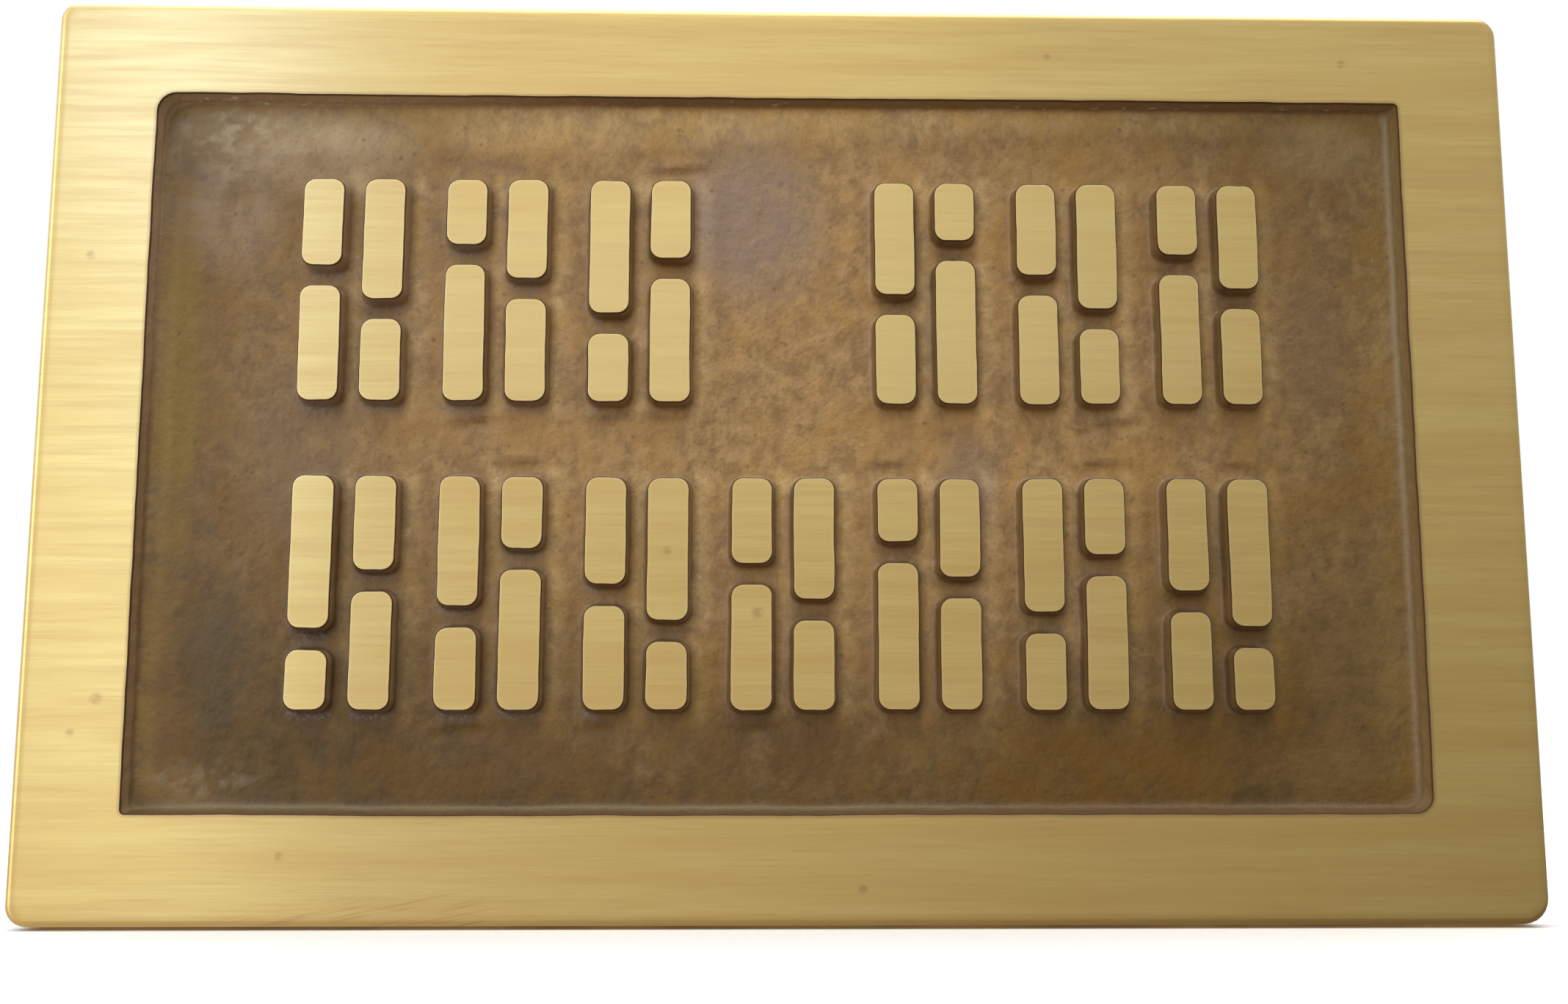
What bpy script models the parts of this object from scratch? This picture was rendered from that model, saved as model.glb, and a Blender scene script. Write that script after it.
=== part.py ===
"""Cast brass sign plate with a raised border and two rows of raised strokes.

Metres, +Z up. The plate stands upright in the X-Z plane with its face towards -Y.
The origin is at the centre of its flat back, which lies against the wall at y = 0.
"""

import math

import bmesh
import bpy

# The casting: its thickness is the floor of the recess and the relief that stands on it
PLATE_WIDTH = 0.160
PLATE_HEIGHT = 0.100
FLOOR_THICKNESS = 0.0038
RELIEF_HEIGHT = 0.0022
SIDE_DRAFT = 0.0003
FRONT_EDGE_ROUND = 0.0007
BACK_EDGE_BEVEL = 0.0003

# The recessed field, by the width of the border left standing on each side
BORDER_LEFT = 0.0115
BORDER_RIGHT = 0.0120
BORDER_TOP = 0.0106
BORDER_BOTTOM = 0.0116
RECESS_DRAFT = 0.0004
RECESS_ROOT_FILLET = 0.0009

# Corner radii as the casting has them: lower left, lower right, upper right, upper left
PLATE_CORNER_RADII = (0.0015, 0.0020, 0.0015, 0.0011)
RECESS_CORNER_RADII = (0.0005, 0.0018, 0.0005, 0.0020)

# The raised strokes, flush with the border: rows of cells, and two columns in each cell
STROKE_WIDTH = 0.0044
STROKE_GAP = 0.0022
CELL_GAP = 0.0045
ROW_HEIGHT = 0.0247
ROW_SPACE = 0.0081
ROW_BREAK = 0.0022
ROW_END_MARGIN = 0.016
ROW_SIDE_MARGIN = 0.0100
ROWS_ABOVE_MIDDLE = 0.0006
STROKE_CORNER_RADIUS = 0.0012
STROKE_DRAFT = 0.0003
STROKE_ROOT_FLARE = 0.00035

# Where a column may be broken, as shares of the row height
LOWEST_BREAK = 0.30
HIGHEST_BREAK = 0.70
GOLDEN_RATIO = (math.sqrt(5) - 1) / 2

# Fineness of the round edges
CORNER_SEGMENTS = 4
STROKE_CORNER_SEGMENTS = 3
EDGE_SEGMENTS = 3
SHARP_ANGLE = math.radians(35)

FRONT_Y = -(FLOOR_THICKNESS + RELIEF_HEIGHT)
FIELD_Y = -FLOOR_THICKNESS


def remove_all_objects():
    for thing in list(bpy.data.objects):
        bpy.data.objects.remove(thing, do_unlink=True)


def principled(name, colour, roughness, metallic):
    """A Principled BSDF material of one colour."""
    material = bpy.data.materials.new(name)
    material.use_nodes = True
    shader = material.node_tree.nodes["Principled BSDF"]
    shader.inputs["Base Color"].default_value = (*colour, 1.0)
    shader.inputs["Roughness"].default_value = roughness
    shader.inputs["Metallic"].default_value = metallic
    material.diffuse_color = (*colour, 1.0)
    return material


def rounded_outline(box, radii, offset, segments):
    """Rounded rectangle in the X-Z plane, moved outwards by an offset.

    The box is (left, right, bottom, top). The radii start at the lower left corner and go
    round by the lower right, upper right and upper left, as the points do. A corner grows
    with an outward offset and keeps its radius with an inward one.
    """
    left, right, bottom, top = box
    signs = ((-1, -1), (1, -1), (1, 1), (-1, 1))
    points = []
    for corner, ((side, level), radius) in enumerate(zip(signs, radii)):
        radius += max(offset, 0.0)
        corner_x = (left - offset) if side < 0 else (right + offset)
        corner_z = (bottom - offset) if level < 0 else (top + offset)
        centre_x = corner_x - side * radius
        centre_z = corner_z - level * radius
        start = math.pi + corner * math.pi / 2
        for step in range(segments + 1):
            angle = start + step * math.pi / 2 / segments
            points.append((centre_x + radius * math.cos(angle), centre_z + radius * math.sin(angle)))
    return points


def add_rings(mesh, box, radii, levels, segments):
    """Add a closed body through rounded rectangles, from the back to the front.

    Each level is (y, offset): its place in depth and how far its outline stands out.
    The two ends are flat. Faces of the ends have material 0 and the sides material 1.
    """
    rings = []
    for y, offset in levels:
        outline = rounded_outline(box, radii, offset, segments)
        rings.append([mesh.verts.new((x, y, z)) for x, z in outline])
    count = len(rings[0])
    for behind, ahead in zip(rings, rings[1:]):
        for step in range(count):
            after = (step + 1) % count
            side = mesh.faces.new((behind[step], behind[after], ahead[after], ahead[step]))
            side.material_index = 1
    mesh.faces.new(list(reversed(rings[0])))
    mesh.faces.new(rings[-1])


def add_object(name, mesh, materials):
    """Turn a bmesh into an object with its faces pointing out."""
    bmesh.ops.recalc_face_normals(mesh, faces=mesh.faces)
    data = bpy.data.meshes.new(name)
    mesh.to_mesh(data)
    mesh.free()
    data.shade_smooth()
    data.set_sharp_from_angle(angle=SHARP_ANGLE)
    for material in materials:
        data.materials.append(material)
    thing = bpy.data.objects.new(name, data)
    bpy.context.scene.collection.objects.link(thing)
    return thing


def hide_as_tool(thing):
    thing.hide_render = True
    thing.display_type = "WIRE"


def quarter_round(start, end, inner, outer, steps):
    """Levels (y, offset) of a rounded edge, from the full outline to the flat face.

    It starts at depth start with the offset outer and ends at depth end with the offset inner.
    """
    levels = []
    for step in range(steps + 1):
        angle = step * math.pi / 2 / steps
        y = start + (end - start) * math.sin(angle)
        offset = inner + (outer - inner) * math.cos(angle)
        levels.append((y, offset))
    return levels


def plate_levels():
    """The outside of the casting: widest near the back, drafted to a rounded front edge."""
    edge = min(FRONT_EDGE_ROUND, 0.4 * RELIEF_HEIGHT)
    bevel = min(BACK_EDGE_BEVEL, 0.4 * FLOOR_THICKNESS)
    behind = [(0.0, -bevel), (-bevel, 0.0)]
    front = quarter_round(FRONT_Y + edge, FRONT_Y, -SIDE_DRAFT - edge, -SIDE_DRAFT, EDGE_SEGMENTS)
    return behind + front


def recess_box():
    return (
        -PLATE_WIDTH / 2 + BORDER_LEFT,
        PLATE_WIDTH / 2 - BORDER_RIGHT,
        -PLATE_HEIGHT / 2 + BORDER_BOTTOM,
        PLATE_HEIGHT / 2 - BORDER_TOP,
    )


def recess_levels():
    """The hollow of the recess: flat floor, filleted root, drafted wall and open mouth."""
    fillet = min(RECESS_ROOT_FILLET, 0.6 * RELIEF_HEIGHT)
    foot = -RECESS_DRAFT
    levels = []
    for step in range(EDGE_SEGMENTS + 1):
        angle = step * math.pi / 2 / EDGE_SEGMENTS
        y = FIELD_Y - fillet * (1 - math.cos(angle))
        levels.append((y, foot - fillet * (1 - math.sin(angle))))
    levels.append((FRONT_Y, 0.0))
    levels.append((FRONT_Y - RELIEF_HEIGHT, 0.0))
    return levels


def break_height(column):
    """Where a column of strokes is broken, as a share of the row height.

    The golden ratio spreads the breaks so that no two neighbouring columns look alike.
    """
    return LOWEST_BREAK + (HIGHEST_BREAK - LOWEST_BREAK) * ((column * GOLDEN_RATIO) % 1.0)


def places(start, end, margin, size, gap, shift=0.0):
    """Centres of as many equal copies as fit between two ends, spaced evenly round the middle."""
    count = max(1, int((end - start - 2 * margin + gap) / (size + gap)))
    middle = (start + end) / 2 + shift
    return [middle + (index - (count - 1) / 2) * (size + gap) for index in range(count)]


def column_boxes(x, row_z, column):
    """The two strokes of one broken column, as (left, right, bottom, top)."""
    left = x - STROKE_WIDTH / 2
    right = x + STROKE_WIDTH / 2
    low = row_z - ROW_HEIGHT / 2
    high = row_z + ROW_HEIGHT / 2
    broken = low + ROW_HEIGHT * break_height(column)
    return [
        (left, right, low, broken - ROW_BREAK / 2),
        (left, right, broken + ROW_BREAK / 2, high),
    ]


def stroke_boxes():
    """Outlines of the stroke tops, row by row from below.

    The uppermost row leaves its middle cell empty, as the space between two groups.
    """
    left, right, bottom, top = recess_box()
    cell_width = 2 * STROKE_WIDTH + STROKE_GAP
    cells = places(left, right, ROW_END_MARGIN, cell_width, CELL_GAP)
    rows = places(bottom, top, ROW_SIDE_MARGIN, ROW_HEIGHT, ROW_SPACE, ROWS_ABOVE_MIDDLE)
    column_step = STROKE_WIDTH + STROKE_GAP
    boxes = []
    column = 0
    for row_z in rows:
        for index, cell_x in enumerate(cells):
            if row_z == rows[-1] and index == len(cells) // 2:
                continue
            for half in (-0.5, 0.5):
                boxes += column_boxes(cell_x + half * column_step, row_z, column)
                column += 1
    return boxes


def stroke_levels():
    """One stroke: a flared root that starts below the floor, then a drafted side to a flat top."""
    room = min(STROKE_GAP, CELL_GAP, ROW_SPACE, ROW_BREAK) / 2
    draft = min(STROKE_DRAFT, 0.3 * room)
    flare = min(STROKE_ROOT_FLARE, 0.32 * room, 0.4 * RELIEF_HEIGHT)
    return [
        (FIELD_Y + flare, draft + 2 * flare),
        (FIELD_Y - flare, draft),
        (FRONT_Y, 0.0),
    ]


def combine(thing, tool, operation):
    """Cut or join with a tool object and keep the result in the mesh."""
    modifier = thing.modifiers.new(tool.name, "BOOLEAN")
    modifier.operation = operation
    modifier.solver = "EXACT"
    modifier.object = tool
    modifier.material_mode = "TRANSFER"
    hide_as_tool(tool)


def build_plate():
    brass = principled("brushed_brass", (0.60, 0.43, 0.20), 0.34, 1.0)
    patina = principled("patinated_brass", (0.20, 0.125, 0.065), 0.55, 0.8)

    body = bmesh.new()
    plate_box = (-PLATE_WIDTH / 2, PLATE_WIDTH / 2, -PLATE_HEIGHT / 2, PLATE_HEIGHT / 2)
    add_rings(body, plate_box, PLATE_CORNER_RADII, plate_levels(), CORNER_SEGMENTS)
    plate = add_object("sign_plate", body, (brass, brass))

    hollow = bmesh.new()
    add_rings(hollow, recess_box(), RECESS_CORNER_RADII, recess_levels(), CORNER_SEGMENTS)
    recess = add_object("recess_cutter", hollow, (patina, patina))

    raised = bmesh.new()
    radii = (min(STROKE_CORNER_RADIUS, 0.45 * STROKE_WIDTH),) * 4
    for box in stroke_boxes():
        add_rings(raised, box, radii, stroke_levels(), STROKE_CORNER_SEGMENTS)
    strokes = add_object("raised_strokes", raised, (brass, patina))

    combine(plate, recess, "DIFFERENCE")
    combine(plate, strokes, "UNION")
    return plate


def main():
    remove_all_objects()
    build_plate()


main()
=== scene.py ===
"""Looks of the cast brass sign plate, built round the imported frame.

Metres, +Z up, the face towards -Y. One finely meshed casting stands for the frame's solid:
brushed tops, drafted walls with rounded edges, an uneven cast floor and a rough back.
"""

import math

import bmesh
import bpy
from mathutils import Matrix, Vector, noise
from mathutils.geometry import delaunay_2d_cdt

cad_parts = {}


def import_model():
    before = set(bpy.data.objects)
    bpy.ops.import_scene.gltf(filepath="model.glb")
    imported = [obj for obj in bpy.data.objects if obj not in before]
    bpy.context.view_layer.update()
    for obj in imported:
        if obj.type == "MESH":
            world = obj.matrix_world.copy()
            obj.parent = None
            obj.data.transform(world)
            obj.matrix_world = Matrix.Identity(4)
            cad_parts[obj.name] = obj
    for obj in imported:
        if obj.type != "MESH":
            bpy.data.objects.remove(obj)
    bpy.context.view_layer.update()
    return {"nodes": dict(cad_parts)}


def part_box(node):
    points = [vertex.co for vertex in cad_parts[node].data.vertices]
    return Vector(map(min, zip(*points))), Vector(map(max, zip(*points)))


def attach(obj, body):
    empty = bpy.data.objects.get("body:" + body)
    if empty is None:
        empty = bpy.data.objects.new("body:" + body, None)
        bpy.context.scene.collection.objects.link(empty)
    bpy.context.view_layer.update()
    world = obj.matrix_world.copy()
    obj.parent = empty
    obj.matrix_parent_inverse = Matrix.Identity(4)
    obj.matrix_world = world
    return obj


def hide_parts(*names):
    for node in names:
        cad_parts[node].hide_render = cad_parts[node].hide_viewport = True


NODE = "sign_plate"
MM = 0.001
GOLDEN_RATIO = (math.sqrt(5) - 1) / 2

# Section of the casting, as the frame's solid has it
RELIEF = 2.2 * MM
FRONT_ROUND = 0.7 * MM
SIDE_DRAFT = 0.3 * MM
BACK_BEVEL = 0.3 * MM
MOUTH_DRAFT = 0.4 * MM
MOUTH_FILLET = 0.95 * MM
STROKE_DRAFT = 0.22 * MM
STROKE_FILLET = 0.36 * MM

# The small round on the edges of the flat tops, and the flat band beside it
ARRIS = 0.13 * MM
ARRIS_LIP = 0.02 * MM
TOP_RIM = 0.6 * MM

# Fineness of the mesh
STROKE_SPACING = 0.48 * MM
MOUTH_SPACING = 0.5 * MM
RIM_SPACING = 0.9 * MM
FLOOR_SPACING = 0.56 * MM
TOP_SPACING = 2.0 * MM
BACK_SPACING = 3.0 * MM
STROKE_CORNER_STEPS = 5
MOUTH_CORNER_STEPS = 6
ROUND_STEPS = 5
ARRIS_STEPS = 3
STROKE_FILLET_STEPS = 3
SIDE_SHARES = (0.33, 0.67, 1.0)

# How far the scattered points of a flat fill keep from its outlines, as a share of their spacing
FILL_CLEARANCE = 0.6

# The seed of their shifts, without which these would change from run to run
SCATTER_SEED = 7

# How closely points of the frame lie on a plane or on a level side
PLANE_TOLERANCE = 0.01 * MM
SIDE_TOLERANCE = 0.005 * MM

# Swells of the cast floor: height, size and seed
FLOOR_SWELLS = (
    (0.10 * MM, 21 * MM, 3.1),
    (0.06 * MM, 7 * MM, 8.7),
    (0.045 * MM, 2.6 * MM, 5.3),
    (0.018 * MM, 1.2 * MM, 1.9),
)

# Creases beside the strokes: how many strokes have one, its gap to the stroke, its width, and the half
# width and offset of the painted shade in it
CREASED_SHARE = 0.45
CREASE_GAP = 1.5 * MM
CREASE_HALF_WIDTH = 0.4 * MM
CREASE_SHADE_HALF_WIDTH = 0.45 * MM
CREASE_SHADE_OFFSET = 0.35 * MM

# How far a stroke marks the floor round it, the residue below it and the painted light on the floor on
# its right, where its shadow falls
STROKE_REACH = 4 * MM
RESIDUE_REACH = 1.2 * MM
RESIDUE_RIGHT_END = -20 * MM
PAINTED_LIGHT_REACH = 2.8 * MM
PAINTED_LIGHT_FADE = 1.6 * MM

# The painted highlight at the foot of the lower and right walls, a pale strip
FOOT_REACH = 3 * MM
FOOT_OFFSET = 0.7 * MM
FOOT_HALF_WIDTH = 0.45 * MM

# Floor that is drawn towards the walls, as distances from the mouth
PULL_START = 0.2 * MM
PULL_RISE = 1.2 * MM
PULL_FALL = 4.4 * MM
PULL_END = 6 * MM

# The unevenness of the outlines fades out on the border over this distance
BORDER_CALM = 1.5 * MM

# Values that each vertex carries for the materials
MARKS = ("relief", "edge_distance", "painted_highlight_foot", "residue", "crease", "pale_floor", "mouth_edge")
FARTHEST_EDGE = 4.0
OUTER_MARKS = (1.0, FARTHEST_EDGE, 0.0, 0.0, 0.0, 0.0, 0.0)

# Material slots of the finished mesh
BRUSHED, PATINA, CAST = 0, 1, 2

# The photograph's camera
CAMERA_PLACE = (-5.0 * MM, -193.7 * MM, -34.1 * MM)
CAMERA_RISE = math.radians(8.63)
CAMERA_TURN = math.radians(-1.48)
CAMERA_SENSOR = 36.0
CAMERA_LENS = 40.96


def clamp(value, low=0.0, high=1.0):
    return min(max(value, low), high)


def colour(red, green, blue):
    """A colour given as 0 to 255 on the screen, as linear light."""
    values = []
    for value in (red, green, blue):
        share = value / 255
        values.append(share / 12.92 if share <= 0.04045 else ((share + 0.055) / 1.055) ** 2.4)
    return (*values, 1.0)


# Outlines read from the frame


def flat_loops(mesh, y):
    """Outlines of the flat faces at depth y, as lists of (x, z) points, the widest first."""
    key = {}
    for vertex in mesh.vertices:
        if abs(vertex.co.y - y) < PLANE_TOLERANCE:
            key[vertex.index] = (round(vertex.co.x, 6), round(vertex.co.z, 6))
    uses = {}
    for face in mesh.polygons:
        if all(index in key for index in face.vertices):
            corners = [key[index] for index in face.vertices]
            for start, end in zip(corners, corners[1:] + corners[:1]):
                edge = (min(start, end), max(start, end))
                uses[edge] = uses.get(edge, 0) + 1
    beside = {}
    for (start, end), count in uses.items():
        if count == 1:
            beside.setdefault(start, []).append(end)
            beside.setdefault(end, []).append(start)
    loops = []
    while beside:
        waiting = [next(iter(beside))]
        points = []
        while waiting:
            point = waiting.pop()
            if point in beside:
                points.append(point)
                waiting += beside.pop(point)
        loops.append(points)
    return sorted(loops, key=lambda points: -width_of(points))


def width_of(points):
    return max(x for x, _ in points) - min(x for x, _ in points)


def box_of(points):
    xs = [x for x, _ in points]
    zs = [z for _, z in points]
    return (min(xs), max(xs), min(zs), max(zs))


def corner_radii(points):
    """Radii of a rounded rectangle's corners: how far its level sides stop short of them.

    The order is lower left, lower right, upper right, upper left.
    """
    left, right, bottom, top = box_of(points)
    radii = []
    for corner_x, corner_z in ((left, bottom), (right, bottom), (right, top), (left, top)):
        level = [abs(x - corner_x) for x, z in points if abs(z - corner_z) < SIDE_TOLERANCE]
        radii.append(min(level))
    return radii


class Outline:
    """A rounded rectangle that gives rings of matching points at any offset."""

    def __init__(self, points, spacing, corner_steps):
        self.box = box_of(points)
        self.radii = corner_radii(points)
        self.corner_steps = corner_steps
        left, right, bottom, top = self.box
        lengths = (right - left, top - bottom, right - left, top - bottom)
        self.side_steps = [max(2, round(length / spacing)) for length in lengths]

    def arc(self, index, corner, inward, offset, inner_growth):
        """Points of one corner, as the ring at an offset has it."""
        radius = self.radii[index] + (offset if offset > 0 else -offset * inner_growth)
        centre_x = corner[0] + inward[0] * radius
        centre_z = corner[1] + inward[1] * radius
        points = []
        for step in range(self.corner_steps + 1):
            angle = math.pi + (index + step / self.corner_steps) * math.pi / 2
            points.append((centre_x + radius * math.cos(angle), centre_z + radius * math.sin(angle)))
        return points

    def ring(self, offset, inner_growth=0.0):
        """Points (x, z) of the outline moved out by offset.

        A corner's radius grows with an outward offset, and with an inward one by inner_growth.
        """
        left, right, bottom, top = self.box
        left, bottom = left - offset, bottom - offset
        right, top = right + offset, top + offset
        corners = ((left, bottom), (right, bottom), (right, top), (left, top))
        inwards = ((1, 1), (-1, 1), (-1, -1), (1, -1))
        arcs = []
        for index, (corner, inward) in enumerate(zip(corners, inwards)):
            arcs.append(self.arc(index, corner, inward, offset, inner_growth))
        points = []
        for index, arc in enumerate(arcs):
            points += arc
            start, end = arc[-1], arcs[(index + 1) % 4][0]
            count = self.side_steps[index]
            for step in range(1, count):
                share = step / count
                x = start[0] + (end[0] - start[0]) * share
                z = start[1] + (end[1] - start[1]) * share
                points.append((x, z))
        return points

    def distance(self, x, z):
        """Distance from the outline to a point, below zero inside it."""
        left, right, bottom, top = self.box
        middle_x, middle_z = (left + right) / 2, (bottom + top) / 2
        if z > middle_z:
            corner = 3 if x < middle_x else 2
        else:
            corner = 0 if x < middle_x else 1
        radius = self.radii[corner]
        across = abs(x - middle_x) - (right - left) / 2 + radius
        along = abs(z - middle_z) - (top - bottom) / 2 + radius
        return math.hypot(max(across, 0), max(along, 0)) + min(max(across, along), 0) - radius

    def near(self, x, z, reach):
        """Whether a point is in the outline's box, widened by a reach."""
        left, right, bottom, top = self.box
        return left - reach < x < right + reach and bottom - reach < z < top + reach


# The casting's mesh


class Surface:
    """Vertices and faces of one closed mesh, joined ring by ring."""

    def __init__(self):
        self.points = []
        self.faces = []
        self.slots = []

    def add_points(self, flat, y):
        """Add points (x, z) at depth y and return their numbers."""
        start = len(self.points)
        self.points += [(x, y, z) for x, z in flat]
        return list(range(start, len(self.points)))

    def add_band(self, first, second, slot):
        """Join two rings of equally many points."""
        count = len(first)
        for step in range(count):
            after = (step + 1) % count
            self.faces.append((first[step], first[after], second[after], second[step]))
            self.slots.append(slot)

    def add_rings(self, outline, levels, slots, inner_growth=0.0):
        """Add rings at (offset, y) levels and the bands between them, and return the end rings.

        The slots are (slot of the first bands, how many these are, slot of the other bands).
        """
        first_slot, first_bands, other_slot = slots
        rings = [self.add_points(outline.ring(offset, inner_growth), y) for offset, y in levels]
        for band, (first, second) in enumerate(zip(rings, rings[1:])):
            self.add_band(first, second, first_slot if band < first_bands else other_slot)
        return rings[0], rings[-1]

    def add_fill(self, outer, holes, inside, y, slot):
        """Fill the flat space inside an outer ring and round holes, by way of the points inside."""
        members = list(outer)
        edges = [(step, (step + 1) % len(outer)) for step in range(len(outer))]
        owner = {index: None for index in range(len(outer))}
        for number, hole in enumerate(holes):
            start = len(members)
            members += hole
            for step in range(len(hole)):
                edges.append((start + step, start + (step + 1) % len(hole)))
                owner[start + step] = number
        members += self.add_points(inside, y)
        flat = [Vector((self.points[m][0] / MM, self.points[m][2] / MM)) for m in members]
        _, _, faces, origins, _, _ = delaunay_2d_cdt(flat, edges, [], 0, 1e-6)
        for face in faces:
            corners = [origins[index][0] for index in face]
            owners = {owner.get(corner) for corner in corners}
            if len(owners) == 1 and owners != {None}:
                continue
            self.faces.append(tuple(members[corner] for corner in corners))
            self.slots.append(slot)


def round_over(start, end, steps):
    """Levels (offset, y) of a convex quarter round, from (offset, y) start to end."""
    levels = []
    for step in range(steps + 1):
        angle = step * math.pi / 2 / steps
        offset = start[0] + (end[0] - start[0]) * math.sin(angle)
        y = end[1] + (start[1] - end[1]) * math.cos(angle)
        levels.append((offset, y))
    return levels


def hollow_out(start, end, steps):
    """Levels (offset, y) of a concave quarter round, from (offset, y) start to end."""
    levels = []
    for step in range(steps + 1):
        angle = step * math.pi / 2 / steps
        offset = end[0] + (start[0] - end[0]) * math.cos(angle)
        y = start[1] + (end[1] - start[1]) * math.sin(angle)
        levels.append((offset, y))
    return levels


def scattered(box, spacing, keep):
    """Points of an even triangular grid in a box, a little out of line, where keep(x, z) is true."""
    left, right, bottom, top = box
    points = []
    row_step = spacing * math.sqrt(3) / 2
    rows = int((top - bottom) / row_step)
    for row in range(rows + 1):
        z = bottom + row * row_step
        x = left + (0.5 * spacing if row % 2 else 0)
        while x < right:
            shift = noise.noise_vector(Vector((x, 0, z)) / spacing * 7.3) * spacing * 0.2
            if keep(x + shift.x, z + shift.z):
                points.append((x + shift.x, z + shift.z))
            x += spacing
    return points


def side_levels(front, back):
    """The outer side, from the border's flat top round to the back."""
    side = FRONT_ROUND + SIDE_DRAFT
    drafted = back - front - FRONT_ROUND - BACK_BEVEL
    levels = [(-TOP_RIM, front)]
    levels += round_over((0, front), (FRONT_ROUND, front + FRONT_ROUND), ROUND_STEPS)
    for share in SIDE_SHARES:
        levels.append((FRONT_ROUND + SIDE_DRAFT * share, front + FRONT_ROUND + drafted * share))
    levels.append((side - BACK_BEVEL * 0.3, back - BACK_BEVEL * 0.3))
    levels.append((side - BACK_BEVEL, back))
    return levels


def mouth_levels(front, floor):
    """The wall of the recess, from the border's flat top down to the floor."""
    foot = -MOUTH_DRAFT - MOUTH_FILLET
    levels = [(TOP_RIM, front), (ARRIS, front)]
    levels += round_over((ARRIS * 0.6, front), (-ARRIS_LIP, front + ARRIS), ARRIS_STEPS)
    levels.append((-MOUTH_DRAFT * 0.6, (front + floor) / 2))
    levels += hollow_out((-MOUTH_DRAFT, floor - MOUTH_FILLET), (foot, floor), ROUND_STEPS)
    return levels


def stroke_levels(front, floor):
    """A stroke's side, from its flat top down to the floor."""
    foot = STROKE_DRAFT + STROKE_FILLET
    levels = [(-TOP_RIM, front), (-ARRIS, front)]
    levels += round_over((-ARRIS * 0.6, front), (ARRIS_LIP, front + ARRIS), ARRIS_STEPS)
    levels.append((STROKE_DRAFT * 0.5, (front + floor) / 2))
    levels += hollow_out((STROKE_DRAFT, floor - STROKE_FILLET), (foot, floor), STROKE_FILLET_STEPS)
    return levels


def build_surface(mesh, low, high):
    """The casting's surface before its unevenness, with its outlines."""
    noise.seed_set(SCATTER_SEED)
    front, back = low.y, high.y
    floor = front + RELIEF
    loops = flat_loops(mesh, front)
    rim = Outline(loops[0], RIM_SPACING, MOUTH_CORNER_STEPS)
    mouth = Outline(loops[1], MOUTH_SPACING, MOUTH_CORNER_STEPS)
    strokes = [Outline(points, STROKE_SPACING, STROKE_CORNER_STEPS) for points in loops[2:]]
    surface = Surface()

    side_slots = (BRUSHED, ROUND_STEPS, CAST)
    wall_slots = (BRUSHED, 2, PATINA)
    border_edge, back_edge = surface.add_rings(rim, side_levels(front, back), side_slots)
    mouth_edge, floor_edge = surface.add_rings(mouth, mouth_levels(front, floor), wall_slots, 0.6)
    ends = [surface.add_rings(stroke, stroke_levels(front, floor), wall_slots) for stroke in strokes]
    stroke_tops = [top for top, _ in ends]
    stroke_feet = [foot for _, foot in ends]

    def on_border(x, z):
        clear = TOP_RIM + FILL_CLEARANCE * TOP_SPACING
        return rim.distance(x, z) < -clear and mouth.distance(x, z) > clear

    def on_floor(x, z):
        clear = FILL_CLEARANCE * FLOOR_SPACING
        if mouth.distance(x, z) > -MOUTH_DRAFT - MOUTH_FILLET - clear:
            return False
        foot = STROKE_DRAFT + STROKE_FILLET + clear
        return all(stroke.distance(x, z) > foot for stroke in strokes if stroke.near(x, z, 3 * MM))

    def on_back(x, z):
        edge = FRONT_ROUND + SIDE_DRAFT - BACK_BEVEL
        return rim.distance(x, z) < edge - FILL_CLEARANCE * BACK_SPACING

    border_points = scattered(rim.box, TOP_SPACING, on_border)
    floor_points = scattered(mouth.box, FLOOR_SPACING, on_floor)
    back_points = scattered(rim.box, BACK_SPACING, on_back)
    surface.add_fill(border_edge, [mouth_edge], border_points, front, BRUSHED)
    surface.add_fill(floor_edge, stroke_feet, floor_points, floor, PATINA)
    surface.add_fill(back_edge, [], back_points, back, CAST)
    for top in stroke_tops:
        surface.add_fill(top, [], [], front, BRUSHED)
    return surface, rim, mouth, strokes


# Unevenness of the casting and the marks that its materials read


def swell(x, z, size, seed):
    """Smooth noise from -1 to 1 with swells about size across."""
    return noise.noise(Vector((x / size, seed, z / size)))


def creases(strokes):
    """Short creases that the mould left beside some stroke ends: (x, z, length, slope, height)."""
    found = []
    for number, stroke in enumerate(strokes):
        walk = (number * GOLDEN_RATIO) % 1.0
        if walk > CREASED_SHARE:
            continue
        left, right, bottom, top = stroke.box
        below = number % 2 == 0
        z = bottom - CREASE_GAP - walk * MM if below else top + CREASE_GAP + walk * MM
        x = left + (right - left) * (0.2 + 1.3 * walk)
        length = (2.8 + 3.5 * walk) * MM
        slope = 0.5 * (walk - 0.2)
        height = (0.10 + 0.16 * walk) * MM
        found.append((x, z, length, slope, height))
    return found


def place_on_crease(x, z, crease):
    """Where a point lies along and across a crease, from its middle."""
    middle_x, middle_z, _, slope, _ = crease
    along = (x - middle_x) + slope * (z - middle_z)
    across = (z - middle_z) - slope * (x - middle_x)
    return along, across


def crease_height(x, z, crease):
    """A valley with a ridge beside it, fading out along its length."""
    _, _, length, _, height = crease
    along, across = place_on_crease(x, z, crease)
    if abs(along) > 2 * length or abs(across) > 2 * MM:
        return 0.0
    share = across / CREASE_HALF_WIDTH
    return height * share * math.exp(0.5 - 0.5 * share * share) * math.exp(-((along / length) ** 2) * 2)


def crease_shadow(x, z, crease):
    """How dark the painted shade in a crease is, 0 to 1."""
    length = crease[2]
    along, across = place_on_crease(x, z, crease)
    across -= CREASE_SHADE_OFFSET
    return math.exp(-((along / length) ** 2) * 2.5) * math.exp(-((across / CREASE_SHADE_HALF_WIDTH) ** 2))


def floor_height(x, z, folds):
    """How far the cast floor stands out of its plane at a point."""
    height = 0.0
    for most, size, seed in FLOOR_SWELLS:
        height += most * swell(x, z, size, seed)
    for crease in folds:
        height += crease_height(x, z, crease)
    return height


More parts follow.
